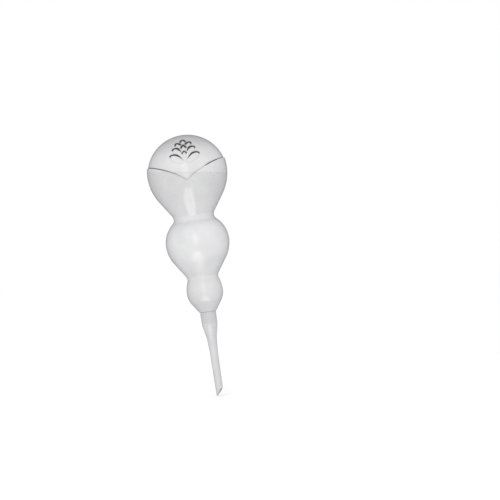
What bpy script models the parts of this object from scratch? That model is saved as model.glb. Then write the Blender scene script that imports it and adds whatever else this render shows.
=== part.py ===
"""Watering globe: a three-lobed water bulb that screws into a hollow spike.

The frame is the object's own, in metres. The origin is on the axis at the soil line, where the
bulb meets the spike, +Z runs up the axis, and the front, with its moulded flower, faces -Y.
Water runs from the bulb through its neck, a sealing washer and the spike to the slanted tip.
"""

from collections import namedtuple
from math import acos, atan2, ceil, cos, hypot, pi, radians, sin, sqrt, tan

import bmesh
import bpy
from mathutils import Matrix, Vector

MM = 0.001

# From the spike's tip to the bulb's crown. The spike's pipe has what the other lengths leave.
TOTAL_LENGTH = 263.0 * MM

# Bulb: three lobes, each shaped like a drop. The heights run one after the other, from the soil
# line over the widest rings of the lobes to the crown. A lobe's side has one arc below its
# widest ring and one above it, and the top lobe ends in a dome.
LOWER_HEIGHT = 20.0 * MM
MIDDLE_HEIGHT = 50.0 * MM
TOP_HEIGHT = 69.5 * MM
DOME_HEIGHT = 38.6 * MM
LOWER_RADIUS = 18.0 * MM
MIDDLE_RADIUS = 31.7 * MM
TOP_RADIUS = 39.5 * MM
LOWER_ARC_BELOW = 19.0 * MM
LOWER_ARC_ABOVE = 33.0 * MM
MIDDLE_ARC_BELOW = 32.5 * MM
MIDDLE_ARC_ABOVE = 28.0 * MM
TOP_ARC_BELOW = 44.0 * MM
CONE_ANGLE = radians(34.0)  # between the axis and the straight lower side of every lobe
WAIST_FILLET = 6.0 * MM
BULB_WALL = 1.2 * MM
BASE_ROUND = 0.8 * MM  # edge between the bulb's flat base and its side

# Screw joint between the bulb's neck and the spike's socket.
NECK_RADIUS = 5.2 * MM
NECK_BORE = 4.0 * MM
NECK_LENGTH = 10.0 * MM
NECK_CHAMFER = 0.4 * MM
THREAD_LEAD = 3.0 * MM  # right-handed, one start
THREAD_HEIGHT = 0.8 * MM
THREAD_ROOT_WIDTH = 1.3 * MM
THREAD_CREST_WIDTH = 0.8 * MM
THREAD_ROOT = 0.4 * MM  # how deep a ridge reaches into its wall
THREAD_FADE = radians(60.0)  # turn over which a ridge sinks into its wall at each end
THREAD_END_MARGIN = 0.5 * MM  # plain wall beyond each end of a thread
THREAD_CLEARANCE = 0.3 * MM
JOINT_GAP = 0.3 * MM  # between pieces that rest on each other

# Seal washer between the neck's mouth and the bottom of the socket.
WASHER_THICKNESS = 1.5 * MM
WASHER_BORE_MARGIN = 0.2 * MM  # wider than the neck's bore
WASHER_EDGE_ROUND = 0.3 * MM

# Spike: a socket with a slight draft, a shoulder, a throat, and a long thin pipe that is cut
# off at a slant. The lengths run one after the other from the soil line.
SOCKET_LENGTH = 13.5 * MM
SHOULDER_LENGTH = 13.5 * MM
THROAT_LENGTH = 15.0 * MM
SOCKET_RIM_RADIUS = 8.0 * MM
SOCKET_FOOT_RADIUS = 7.7 * MM
SHOULDER_FOOT_RADIUS = 4.9 * MM
PIPE_TOP_RADIUS = 4.05 * MM
PIPE_END_RADIUS = 3.65 * MM
PIPE_WALL = 0.75 * MM
RIM_ROUND = 0.3 * MM
SHOULDER_ROUND = 8.0 * MM
SHOULDER_FILLET = 15.0 * MM
THROAT_FILLET = 60.0 * MM
TIP_CUT_ANGLE = radians(40.0)  # between the slanted cut and the axis
TIP_CUT_FACING = radians(-22.5)  # the cut faces +X, turned a little to the front
TIP_FLAT = 0.4 * MM  # width of the blunt end that the cut leaves

# Moulded relief on the top lobe, the same at the front and at the back. Two broad petals cover
# its lower half. Their rims stand proud, meet in a V at the front and rise to the sides.
RIM_V_ANGLE = radians(-9.2)  # below the widest ring
RIM_SIDE_ANGLE = radians(16.0)  # above it
RIM_CURVE = 2.6  # how quickly the rims rise out of the V
RIM_PROUD = 0.9 * MM
RIM_PROUD_AT_V = 0.4 * MM
RIM_LEDGE = 0.4 * MM  # height of the step at the rim

# A bud of small overlapping petals fans out above the V from one point on the dome. A petal has
# its tip's distance from that point, its direction, its length, its greatest half width, and
# how blunt its ends are: 1 gives a diamond, 2 an ellipse. The distances are angles on the dome.
Petal = namedtuple("Petal", "reach direction length half_width bluntness")
FAN_CENTRE_ANGLE = radians(17.5)  # above the widest ring
CENTRE_PETALS = (
    Petal(radians(42.0), radians(89.2), radians(17.5), radians(4.7), 1.5),
    Petal(radians(29.2), radians(89.2), radians(16.0), radians(4.5), 1.5),
    Petal(radians(17.5), radians(89.2), radians(13.9), radians(4.2), 1.5),
)
SIDE_PETALS = (
    Petal(radians(36.9), radians(75.0), radians(17.5), radians(5.0), 1.6),
    Petal(radians(29.6), radians(59.0), radians(19.7), radians(5.8), 1.8),
    Petal(radians(25.4), radians(31.0), radians(21.9), radians(6.1), 2.1),
)
PETAL_WIDEST = 0.6  # where a petal is widest, as a share of the way from its base to its tip
PETAL_TIP_PROUD = 0.8 * MM
PETAL_BASE_PROUD = 0.25 * MM
PETAL_CROWN = 0.15 * MM
PETAL_ROOT = 0.5 * MM  # how deep a petal reaches into the bulb's wall

# How finely round shapes are divided.
BULB_SIDES = 48
HOLLOW_SIDES = 32
SPIKE_SIDES = 32
THREAD_STEPS_PER_TURN = 24
ARC_STEP = radians(9.0)
ARC_SAG = 0.06 * MM  # small rounds take fewer steps, as long as their chords stay this close
RIM_ROWS = 6
DOME_ROWS = 10
PETAL_STATIONS = 7
SHARP_ANGLE = radians(32.0)

# What follows from the sizes above. A lobe's height is that of its widest ring.
Lobe = namedtuple("Lobe", "height radius arc_below arc_above")
LOWER_LOBE = Lobe(LOWER_HEIGHT, LOWER_RADIUS, LOWER_ARC_BELOW, LOWER_ARC_ABOVE)
MIDDLE_LOBE = Lobe(
    LOWER_LOBE.height + MIDDLE_HEIGHT, MIDDLE_RADIUS, MIDDLE_ARC_BELOW, MIDDLE_ARC_ABOVE
)
TOP_LOBE = Lobe(MIDDLE_LOBE.height + TOP_HEIGHT, TOP_RADIUS, TOP_ARC_BELOW, None)
CROWN_HEIGHT = TOP_LOBE.height + DOME_HEIGHT
TIP_HEIGHT = CROWN_HEIGHT - TOTAL_LENGTH
NECK_THREAD_RADIUS = NECK_RADIUS + THREAD_HEIGHT
SOCKET_THREAD_RADIUS = NECK_RADIUS + THREAD_CLEARANCE
SOCKET_BORE = NECK_THREAD_RADIUS + THREAD_CLEARANCE
THREAD_MARGIN = THREAD_END_MARGIN + THREAD_ROOT_WIDTH / 2
NECK_THREAD_START = THREAD_MARGIN - NECK_LENGTH
NECK_THREAD_END = JOINT_GAP - THREAD_MARGIN
SOCKET_THREAD_START = NECK_THREAD_START + THREAD_LEAD / 2
SOCKET_THREAD_END = -THREAD_MARGIN
WASHER_BORE = NECK_BORE + WASHER_BORE_MARGIN
WASHER_TOP = -NECK_LENGTH - JOINT_GAP
WASHER_FOOT = WASHER_TOP - WASHER_THICKNESS
SEAT_HEIGHT = WASHER_FOOT - JOINT_GAP
SHOULDER_FOOT = -SOCKET_LENGTH - SHOULDER_LENGTH
PIPE_TOP = SHOULDER_FOOT - THROAT_LENGTH


def arc(centre, radius, start, end):
    """Points (r, z) on an arc, with angles from the +r direction towards +z."""
    largest_step = max(ARC_STEP, 2 * acos(max(0.0, 1 - ARC_SAG / radius)))
    steps = max(1, ceil(abs(end - start) / largest_step))
    angles = [start + (end - start) * i / steps for i in range(steps + 1)]
    return [(centre[0] + radius * cos(a), centre[1] + radius * sin(a)) for a in angles]


def rounded(corners):
    """A profile through corners (r, z, fillet), with each corner rounded by its fillet."""
    points = []
    for i, (r, z, fillet) in enumerate(corners):
        if not fillet:
            points.append((r, z))
            continue
        here = Vector((r, z))
        back = (Vector(corners[i - 1][:2]) - here).normalized()
        ahead = (Vector(corners[(i + 1) % len(corners)][:2]) - here).normalized()
        half = acos(max(-1.0, min(1.0, back.dot(ahead)))) / 2
        centre = here + (back + ahead).normalized() * (fillet / sin(half))
        first = here + back * (fillet / tan(half)) - centre
        last = here + ahead * (fillet / tan(half)) - centre
        start = atan2(first.y, first.x)
        turn = atan2(last.y, last.x) - start
        turn = (turn + pi) % (2 * pi) - pi
        points += arc(centre, fillet, start, start + turn)
    return points


def lathe(name, rows, sides, closed):
    """Turns rows of points round the axis. A row is one (r, z), or a list with one per side.

    A closed profile joins its last row to its first. An open one starts and ends on the axis.
    """
    mesh = bmesh.new()
    rings = []
    for row in rows:
        points = row if isinstance(row, list) else [row] * sides
        if points[0][0] == 0:
            rings.append([mesh.verts.new((0, 0, points[0][1]))] * sides)
            continue
        ring = []
        for side, (r, z) in enumerate(points):
            angle = 2 * pi * side / sides
            ring.append(mesh.verts.new((r * cos(angle), r * sin(angle), z)))
        rings.append(ring)
    pairs = list(zip(rings, rings[1:]))
    if closed:
        pairs.append((rings[-1], rings[0]))
    for low, high in pairs:
        for side in range(sides):
            after = (side + 1) % sides
            corners = [low[side], low[after], high[after], high[side]]
            corners = list(dict.fromkeys(corners))
            mesh.faces.new(corners)
    return finished(name, mesh)


def finished(name, mesh):
    """Makes an object of a bmesh, with its faces pointing out."""
    bmesh.ops.recalc_face_normals(mesh, faces=mesh.faces)
    data = bpy.data.meshes.new(name)
    mesh.to_mesh(data)
    mesh.free()
    item = bpy.data.objects.new(name, data)
    bpy.context.scene.collection.objects.link(item)
    return item


def combine(item, tools, operation):
    """Applies one Boolean of all the tools to the item and removes the tools."""
    group = bpy.data.collections.new("tools")
    for tool in tools:
        group.objects.link(tool)
    modifier = item.modifiers.new("combine", "BOOLEAN")
    modifier.operation = operation
    modifier.operand_type = "COLLECTION"
    modifier.collection = group
    bpy.context.view_layer.update()
    evaluated = item.evaluated_get(bpy.context.evaluated_depsgraph_get())
    result = bpy.data.meshes.new_from_object(evaluated)
    item.modifiers.remove(modifier)
    item.data = result
    for tool in tools:
        bpy.data.objects.remove(tool)
    bpy.data.collections.remove(group)


def thread_ridge(wall_radius, crest_radius, start, end):
    """A right-handed helical ridge on a wall, from one height to another, fading at both ends."""
    into_wall = 1 if crest_radius < wall_radius else -1
    root = wall_radius + into_wall * THREAD_ROOT
    sunk = (wall_radius + root) / 2
    steps = round((end - start) / THREAD_LEAD * THREAD_STEPS_PER_TURN)
    fade = THREAD_FADE / (2 * pi) * THREAD_STEPS_PER_TURN
    mesh = bmesh.new()
    sections = []
    for step in range(steps + 1):
        angle = 2 * pi * step / THREAD_STEPS_PER_TURN
        height = start + THREAD_LEAD * step / THREAD_STEPS_PER_TURN
        rise = min(1.0, step / fade, (steps - step) / fade)
        crest = sunk + (crest_radius - sunk) * rise
        profile = (
            (root, -THREAD_ROOT_WIDTH / 2),
            (crest, -THREAD_CREST_WIDTH / 2),
            (crest, THREAD_CREST_WIDTH / 2),
            (root, THREAD_ROOT_WIDTH / 2),
        )
        sections.append([
            mesh.verts.new((radius * cos(angle), radius * sin(angle), height + above))
            for radius, above in profile
        ])
    for first, second in zip(sections, sections[1:]):
        for i in range(4):
            j = (i + 1) % 4
            mesh.faces.new((first[i], first[j], second[j], second[i]))
    mesh.faces.new(sections[0])
    mesh.faces.new(sections[-1][::-1])
    return finished("thread_ridge", mesh)


def cone_start(lobe):
    """Where a lobe's straight lower side meets its lower arc."""
    r = lobe.radius - lobe.arc_below * (1 - cos(CONE_ANGLE))
    return r, lobe.height - lobe.arc_below * sin(CONE_ANGLE)


def waist_fillet(lobe, above):
    """Arc (centre, start, end) that joins a lobe's upper arc to the cone of the lobe above."""
    centre_r = lobe.radius - lobe.arc_above
    cone_r, cone_z = cone_start(above)
    slope = tan(CONE_ANGLE)
    # The centre lies a fillet's radius outside both: on a line r = slope * z + offset, and on a
    # circle round the arc's centre.
    offset = cone_r + WAIST_FILLET / cos(CONE_ANGLE) - slope * cone_z - centre_r
    reach = lobe.arc_above + WAIST_FILLET
    a = slope**2 + 1
    b = slope * offset - lobe.height
    c = offset**2 + lobe.height**2 - reach**2
    z = (-b + sqrt(b**2 - a * c)) / a
    r = slope * z + offset + centre_r
    towards_lobe = atan2(lobe.height - z, centre_r - r) % (2 * pi)
    return (r, z), towards_lobe, pi - CONE_ANGLE


def bulb_side(inset):
    """Profile rows from the lower lobe's cone to the top lobe's cone, moved in by an inset."""
    rows = []
    lobes = (LOWER_LOBE, MIDDLE_LOBE, TOP_LOBE)
    for lobe, above in zip(lobes, lobes[1:]):
        below = (lobe.radius - lobe.arc_below, lobe.height)
        upper = (lobe.radius - lobe.arc_above, lobe.height)
        centre, towards_lobe, towards_cone = waist_fillet(lobe, above)
        crest = towards_lobe - pi
        rows += arc(below, lobe.arc_below - inset, -CONE_ANGLE, 0)
        rows += arc(upper, lobe.arc_above - inset, 0, crest)[1:]
        rows += arc(centre, WAIST_FILLET + inset, towards_lobe, towards_cone)[1:]
    return rows


def top_point(angle, inset=0.0):
    """Profile point of the top lobe at an angle above its widest ring, negative below it."""
    if angle < 0:
        reach = TOP_LOBE.arc_below - inset
        r = TOP_LOBE.radius - TOP_LOBE.arc_below + reach * cos(angle)
        return r, TOP_LOBE.height + reach * sin(angle)
    r = (TOP_LOBE.radius - inset) * cos(angle)
    return r, TOP_LOBE.height + (DOME_HEIGHT - inset) * sin(angle)


def rim_angle(azimuth):
    """Height of the broad petals' rims, as an angle above the widest ring."""
    from_v = abs(azimuth % pi - pi / 2) / (pi / 2)
    rise = 1 - (1 - from_v) ** RIM_CURVE
    return RIM_V_ANGLE + (RIM_SIDE_ANGLE - RIM_V_ANGLE) * rise


def top_rows():
    """Rows of the top lobe. One of them follows the rims of the broad petals all the way round."""
    azimuths = [2 * pi * side / BULB_SIDES for side in range(BULB_SIDES)]
    rims = [rim_angle(azimuth) for azimuth in azimuths]
    rows = []
    for i in range(RIM_ROWS + 1):
        share = i / RIM_ROWS
        row = []
        for rim in rims:
            near_v = (RIM_SIDE_ANGLE - rim) / (RIM_SIDE_ANGLE - RIM_V_ANGLE)
            proud = RIM_PROUD + (RIM_PROUD_AT_V - RIM_PROUD) * near_v**2
            angle = -CONE_ANGLE + (rim + CONE_ANGLE) * share
            r, z = top_point(angle)
            lift = proud * share**2
            row.append((r + lift * cos(angle), z + lift * sin(angle)))
        rows.append(row)
    ledge = RIM_LEDGE / TOP_LOBE.radius
    for i in range(DOME_ROWS):
        share = i / DOME_ROWS
        rows.append([top_point(rim + ledge + (pi / 2 - rim - ledge) * share) for rim in rims])
    rows.append((0, CROWN_HEIGHT))
    return rows


def on_dome(x, y, lift):
    """Point on the front of the dome, from a place x to the right of and y above the fan's centre.

    Both are angles on the dome, and lift is the height above its surface.
    """
    centre = Vector((0, -cos(FAN_CENTRE_ANGLE), sin(FAN_CENTRE_ANGLE)))
    up = Vector((0, sin(FAN_CENTRE_ANGLE), cos(FAN_CENTRE_ANGLE)))
    right = Vector((1, 0, 0))
    turn = hypot(x, y)
    towards = (right * x + up * y) / turn if turn else up
    normal = centre * cos(turn) + towards * sin(turn)
    scale = Vector((TOP_LOBE.radius + lift, TOP_LOBE.radius + lift, DOME_HEIGHT + lift))
    point = normal * scale
    point.z += TOP_LOBE.height
    return point


def petal_half_width(petal, share):
    """Half width of a petal at a share of the way from its base to its tip."""
    side = share / PETAL_WIDEST if share < PETAL_WIDEST else (1 - share) / (1 - PETAL_WIDEST)
    return petal.half_width * max(0.0, 1 - (1 - side) ** petal.bluntness) ** (1 / petal.bluntness)


def petal_plate(petal, turn):
    """A thin curved plate in the shape of a petal, laid on the dome and turned about the axis."""
    along = Vector((cos(petal.direction), sin(petal.direction)))
    across = Vector((-along.y, along.x))
    mesh = bmesh.new()
    tops = []
    bottoms = []
    for station in range(PETAL_STATIONS + 1):
        share = (1 - cos(pi * station / PETAL_STATIONS)) / 2
        distance = petal.reach - petal.length * (1 - share)
        half_width = petal_half_width(petal, share)
        edge = PETAL_BASE_PROUD + (PETAL_TIP_PROUD - PETAL_BASE_PROUD) * share
        pointed = station in (0, PETAL_STATIONS)
        top = []
        bottom = []
        for offset in (0,) if pointed else (-1, 0, 1):
            place = along * distance + across * (offset * half_width)
            lift = edge if pointed or offset else edge + PETAL_CROWN
            top.append(mesh.verts.new(on_dome(place.x, place.y, lift)))
            bottom.append(mesh.verts.new(on_dome(place.x, place.y, -PETAL_ROOT)))
        tops.append(top * 3 if pointed else top)
        bottoms.append(bottom * 3 if pointed else bottom)
    for i in range(PETAL_STATIONS):
        for j in range(2):
            for layer in (tops, bottoms):
                add_face(mesh, layer[i][j], layer[i][j + 1], layer[i + 1][j + 1], layer[i + 1][j])
        for j in (0, 2):
            add_face(mesh, tops[i][j], tops[i + 1][j], bottoms[i + 1][j], bottoms[i][j])
    plate = finished("petal_plate", mesh)
    plate.data.transform(Matrix.Rotation(turn, 4, "Z"))
    return plate


def add_face(mesh, *corners):
    """Adds a face, leaving out corners that coincide."""
    mesh.faces.new(list(dict.fromkeys(corners)))


def mirrored(petal):
    """The same petal on the other side of the flower."""
    return petal._replace(direction=pi - petal.direction)


def neck_and_base():
    """Rows of the bulb's outside from the neck's mouth to the foot of the lower lobe."""
    cone_r, cone_z = cone_start(LOWER_LOBE)
    base_r = cone_r - (cone_z - JOINT_GAP) * tan(CONE_ANGLE)
    return rounded([
        (NECK_RADIUS - NECK_CHAMFER, -NECK_LENGTH, 0),
        (NECK_RADIUS, NECK_CHAMFER - NECK_LENGTH, 0),
        (NECK_RADIUS, JOINT_GAP, 0),
        (base_r, JOINT_GAP, BASE_ROUND),
        (cone_r, cone_z, 0),
    ])[:-1]


def hollow():
    """The bulb's inside as a solid, from below the neck's mouth to the crown."""
    side = bulb_side(BULB_WALL)
    cone_r, cone_z = side[0]
    floor = JOINT_GAP + BULB_WALL
    slope_top = floor + BULB_WALL  # the floor slopes, so that the water drains into the bore
    foot_r = cone_r - (cone_z - slope_top) * tan(CONE_ANGLE)
    below = -NECK_LENGTH - JOINT_GAP
    bore = [(0, below), (NECK_BORE, below), (NECK_BORE, floor), (foot_r, slope_top)]
    turn = pi / 2 + CONE_ANGLE
    dome = [
        top_point(-CONE_ANGLE + turn * i / DOME_ROWS, BULB_WALL) for i in range(DOME_ROWS)
    ]
    crown = (0, CROWN_HEIGHT - BULB_WALL)
    return lathe("hollow", bore + side + dome + [crown], HOLLOW_SIDES, closed=False)


def globe_body():
    """The bulb: a blown shell with its flower relief and the outer thread on its open neck."""
    mouth = (0, -NECK_LENGTH)
    outside = [mouth] + neck_and_base() + bulb_side(0) + top_rows()
    body = lathe("globe_body", outside, BULB_SIDES, closed=False)
    petals = CENTRE_PETALS + SIDE_PETALS + tuple(mirrored(petal) for petal in SIDE_PETALS)
    plates = [petal_plate(petal, turn) for turn in (0, pi) for petal in petals]
    ridge = thread_ridge(NECK_RADIUS, NECK_THREAD_RADIUS, NECK_THREAD_START, NECK_THREAD_END)
    combine(body, plates + [ridge], "UNION")
    combine(body, [hollow()], "DIFFERENCE")
    return body


def seal_washer():
    """A flat rubber ring, modelled about the middle of its thickness."""
    outer = SOCKET_BORE - THREAD_CLEARANCE
    half = WASHER_THICKNESS / 2
    profile = rounded([
        (WASHER_BORE, -half, WASHER_EDGE_ROUND),
        (outer, -half, WASHER_EDGE_ROUND),
        (outer, half, WASHER_EDGE_ROUND),
        (WASHER_BORE, half, WASHER_EDGE_ROUND),
    ])
    washer = lathe("seal_washer", profile, SPIKE_SIDES, closed=True)
    washer.location.z = WASHER_TOP - half
    return washer


def spike():
    """The hollow spike: a threaded socket that runs down into a thin pipe with a slanted end."""
    profile = rounded([
        (SOCKET_BORE, 0, 0),
        (SOCKET_RIM_RADIUS, 0, RIM_ROUND),
        (SOCKET_FOOT_RADIUS, -SOCKET_LENGTH, SHOULDER_ROUND),
        (SHOULDER_FOOT_RADIUS, SHOULDER_FOOT, SHOULDER_FILLET),
        (PIPE_TOP_RADIUS, PIPE_TOP, THROAT_FILLET),
        (PIPE_END_RADIUS, TIP_HEIGHT, 0),
        (PIPE_END_RADIUS - PIPE_WALL, TIP_HEIGHT, 0),
        (PIPE_TOP_RADIUS - PIPE_WALL, PIPE_TOP, THROAT_FILLET),
        (SHOULDER_FOOT_RADIUS - PIPE_WALL, SHOULDER_FOOT, 0),
        (WASHER_BORE, SEAT_HEIGHT, 0),
        (SOCKET_BORE, SEAT_HEIGHT, 0),
    ])
    body = lathe("spike", profile, SPIKE_SIDES, closed=True)
    ridge = thread_ridge(SOCKET_BORE, SOCKET_THREAD_RADIUS, SOCKET_THREAD_START, SOCKET_THREAD_END)
    combine(body, [ridge], "UNION")
    combine(body, [tip_cutter()], "DIFFERENCE")
    return body


def tip_cutter():
    """A block whose face is the plane of the slanted cut at the spike's tip."""
    facing = Vector((cos(TIP_CUT_FACING), sin(TIP_CUT_FACING), 0))
    out = facing * cos(TIP_CUT_ANGLE) - Vector((0, 0, sin(TIP_CUT_ANGLE)))
    on_plane = facing * (TIP_FLAT - PIPE_END_RADIUS) + Vector((0, 0, TIP_HEIGHT))
    size = -TIP_HEIGHT / 2
    mesh = bmesh.new()
    bmesh.ops.create_cube(mesh, size=size)
    block = finished("tip_cutter", mesh)
    turn = out.to_track_quat("Z", "Y").to_matrix().to_4x4()
    block.data.transform(Matrix.Translation(on_plane + out * (size / 2)) @ turn)
    return block


def material(name, colour, roughness, transmission):
    """A plain Principled material for a plastic or rubber part."""
    item = bpy.data.materials.new(name)
    item.use_nodes = True
    shader = item.node_tree.nodes["Principled BSDF"]
    shader.inputs["Base Color"].default_value = (*colour, 1)
    shader.inputs["Roughness"].default_value = roughness
    shader.inputs["Metallic"].default_value = 0
    shader.inputs["Transmission Weight"].default_value = transmission
    item.diffuse_color = (*colour, 1)
    return item


def dress(item, finish):
    """Gives an object its material and smooth round sides with crisp edges."""
    item.data.materials.clear()
    item.data.materials.append(finish)
    item.data.shade_smooth()
    item.data.set_sharp_from_angle(angle=SHARP_ANGLE)


def build():
    """Clears the scene and builds the three pieces. The bulb and the washer turn about +Z."""
    for item in list(bpy.data.objects):
        bpy.data.objects.remove(item)
    pipe = spike()
    washer = seal_washer()
    bulb = globe_body()
    dress(pipe, material("milky_spike_plastic", (0.66, 0.66, 0.67), 0.3, 0.5))
    dress(washer, material("clear_silicone", (0.55, 0.55, 0.56), 0.5, 0.3))
    dress(bulb, material("milky_bulb_plastic", (0.8, 0.8, 0.8), 0.22, 0.6))
    washer.parent = pipe
    bulb.parent = washer
    bulb.location.z = -washer.location.z


build()
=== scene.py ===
"""The looks of the watering globe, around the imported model.

The globe's shell is turned again from the model's own sizes, with a fine grid that carries the
flower in relief, a drawn thread and the seam of its mould. It holds water up to a level that is
horizontal at the lean at which the globe is seen.
"""

from collections import namedtuple
from math import acos, atan2, ceil, cos, hypot, pi, radians, sin, sqrt, tan

import bpy
import numpy as np
from mathutils import Matrix, Vector


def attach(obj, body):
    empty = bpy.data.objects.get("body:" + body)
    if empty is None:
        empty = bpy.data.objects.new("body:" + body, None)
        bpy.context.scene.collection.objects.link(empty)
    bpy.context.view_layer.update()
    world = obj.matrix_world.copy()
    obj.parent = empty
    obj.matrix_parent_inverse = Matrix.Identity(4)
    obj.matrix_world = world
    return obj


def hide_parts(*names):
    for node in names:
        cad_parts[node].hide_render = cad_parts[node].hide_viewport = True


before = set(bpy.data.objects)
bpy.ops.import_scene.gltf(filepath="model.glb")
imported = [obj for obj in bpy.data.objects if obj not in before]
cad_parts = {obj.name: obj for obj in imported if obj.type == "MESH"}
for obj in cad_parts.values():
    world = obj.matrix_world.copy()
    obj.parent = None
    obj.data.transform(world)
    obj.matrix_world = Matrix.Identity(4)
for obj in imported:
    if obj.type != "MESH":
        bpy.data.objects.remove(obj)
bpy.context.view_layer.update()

MM = 0.001

# The model's own sizes. Only the joint's gap and the rounds beside it are smaller here.
Lobe = namedtuple("Lobe", "height radius arc_below arc_above")
LOWER_LOBE = Lobe(20.0 * MM, 18.0 * MM, 19.0 * MM, 33.0 * MM)
MIDDLE_LOBE = Lobe(70.0 * MM, 31.7 * MM, 32.5 * MM, 28.0 * MM)
TOP_LOBE = Lobe(139.5 * MM, 39.5 * MM, 44.0 * MM, None)
DOME_HEIGHT = 38.6 * MM
CROWN_HEIGHT = TOP_LOBE.height + DOME_HEIGHT
CONE_ANGLE = radians(34.0)
WAIST_FILLET = 6.0 * MM
BULB_WALL = 1.2 * MM
BASE_ROUND = 0.35 * MM
NECK_RADIUS = 5.2 * MM
NECK_BORE = 4.0 * MM
NECK_LENGTH = 10.0 * MM
NECK_CHAMFER = 0.4 * MM
NECK_FILLET = 0.1 * MM
MOUTH_CHAMFER = 0.25 * MM
THREAD_LEAD = 3.0 * MM
THREAD_HEIGHT = 0.8 * MM
THREAD_ROOT_WIDTH = 1.3 * MM
THREAD_CREST_WIDTH = 0.8 * MM
THREAD_CLEARANCE = 0.3 * MM
THREAD_FADE = radians(60.0)
THREAD_END_SHARE = 0.3  # of its height, where the ridge starts and ends
THREAD_SOFTNESS = 0.1 * MM
JOINT_GAP = 0.12 * MM  # the model leaves 0.3 mm here
NECK_THREAD_START = -8.85 * MM
NECK_THREAD_END = -0.85 * MM
SOCKET_THREAD_START = NECK_THREAD_START + THREAD_LEAD / 2
SOCKET_THREAD_END = -1.15 * MM
SOCKET_BORE = NECK_RADIUS + THREAD_HEIGHT + THREAD_CLEARANCE
SOCKET_THREAD_RADIUS = NECK_RADIUS + THREAD_CLEARANCE
SEAT_HEIGHT = -12.1 * MM
WASHER_BORE = 4.2 * MM
SOCKET_FOOT = -13.5 * MM
SHOULDER_FOOT = -27.0 * MM
PIPE_TOP = -42.0 * MM
TIP_HEIGHT = -84.9 * MM
SOCKET_RIM_RADIUS = 8.0 * MM
SOCKET_FOOT_RADIUS = 7.7 * MM
SHOULDER_FOOT_RADIUS = 4.9 * MM
PIPE_TOP_RADIUS = 4.05 * MM
PIPE_END_RADIUS = 3.65 * MM
PIPE_WALL = 0.75 * MM
RIM_ROUND = 0.2 * MM
SOCKET_CHAMFER = 0.3 * MM
SHOULDER_ROUND = 8.0 * MM
SHOULDER_FILLET = 15.0 * MM
THROAT_FILLET = 60.0 * MM
TIP_CUT_ANGLE = radians(40.0)
TIP_CUT_FACING = radians(-22.5)
TIP_FLAT = 0.4 * MM
TIP_ROWS_FROM = -75.0 * MM

# The rims of the two broad petals, which meet in a V.
RIM_V_ANGLE = radians(-10.2)
RIM_SIDE_ANGLE = radians(15.0)
RIM_CURVE = 2.6
RIM_PROUD = 0.9 * MM
RIM_PROUD_AT_V = 0.4 * MM
# Rows of the step at a rim: mm beyond the rim, share of its height, mm below the dome, darkness of
# its painted shade.
RIM_STEP = (
    (0.10, 0.93, 0.0, 0.6),
    (0.20, 0.70, 0.0, 0.9),
    (0.30, 0.35, 0.05, 1.0),
    (0.42, 0.05, 0.16, 1.0),
    (0.60, 0.0, 0.22, 0.9),
    (0.85, 0.0, 0.16, 0.55),
    (1.15, 0.0, 0.07, 0.2),
    (1.5, 0.0, 0.02, 0.05),
)
RIM_STEP_END = 1.8 * MM
# Painted shade on the rim's edge itself.
RIM_EDGE_DARKNESS = 0.25
# Darkness of the painted shade along the rim's line, at shares of the way from the V to the side.
# Above 1 it is wider.
RIM_LINE_LEFT = ((0.0, 0.16), (0.42, 1.0))
RIM_LINE_RIGHT = ((0.0, 0.07), (0.12, 0.22), (0.3, 0.22), (0.4, 1.42), (0.56, 1.42), (0.68, 0.72))

# The flower of small petals, which fans out above the V. A petal's tip lies at a reach and a
# direction from the fan's centre, or from a point that much lower (drop). Its crescent begins at
# a share of its length (marked_from) and has a share of the full width (mark_width).
Petal = namedtuple(
    "Petal", "reach direction length half_width bluntness marked_from mark_width drop"
)
FAN_CENTRE_ANGLE = radians(16.2)
FAN_TURN = radians(1.3)
CENTRE_PETALS = (
    Petal(radians(42.0), radians(90.0), radians(17.5), radians(4.5), 1.4, 0.35, 1.0, 0),
    Petal(radians(28.9), radians(90.0), radians(16.0), radians(4.4), 1.3, 0.35, 1.0, 0),
    Petal(radians(17.5), radians(90.0), radians(13.9), radians(4.2), 1.5, 0.35, 0.9, 0),
)
SIDE_PETALS = (
    Petal(radians(36.6), radians(74.0), radians(17.5), radians(5.1), 1.5, 0.35, 1.0, 0),
    Petal(radians(24.9), radians(50.0), radians(21.0), radians(5.5), 2.2, 0.15, 1.0, radians(-5.3)),
    Petal(radians(27.2), radians(37.0), radians(26.0), radians(6.2), 2.0, 0.0, 1.0, radians(3.3)),
)
PETAL_WIDEST = 0.6  # where a petal is widest, as a share of the way from its base to its tip
PETAL_TIP_PROUD = 0.55 * MM
PETAL_BASE_PROUD = 0.1 * MM
PETAL_RISE = 1.2  # above 1, a petal rises later towards its tip
PETAL_CROWN = 0.15 * MM
PETAL_INSET = 0.9 * MM  # smaller than the model's, to leave room for the crescents
PETAL_EDGE = 0.9 * MM  # width of the moulded edge round a petal
PETAL_MARGIN = radians(4.0)  # room for the crescent round a petal
OUTLINE_POINTS = 61
FAN_LIMIT = radians(60.0)
GROOVE_DEPTH = 0.2 * MM
GROOVE_WIDTH = 1.8 * MM
GROOVE_WIDEST = 1.6  # times the width, high on the dome
GROOVE_LEAST = 0.001 * MM
GROOVE_OFFSET = 0.35  # of the width, from the petal's edge to the groove's middle
GROOVE_SPREAD = 0.52  # of the width, from the groove's middle to its flank
GROOVE_SHALLOW = 0.4  # of the full width, below which a groove is shallower
CRESCENT_FACING = ((-0.1, 0), (0.6, 1))  # share of its width, by how far the edge looks up
CRESCENT_FULL = 0.75  # share of the petal's length from which its crescent is full
EDGE_WIDTH = 0.4 * MM  # of the faint line of painted shade along a petal's edge
EDGE_DARKNESS = 0.08
SEAM_PROUD = 0.14 * MM

# Columns of the bulb's grid: fine over the flowers at the front and the back.
FINE_HALF_ANGLE = radians(32.0)
FINE_COLUMNS = 124
COARSE_COLUMNS = 64
SEAM_CROWDING = 0.6  # how much closer columns stand beside a seam
SEAM_NEAR = radians(10.0)

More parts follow.
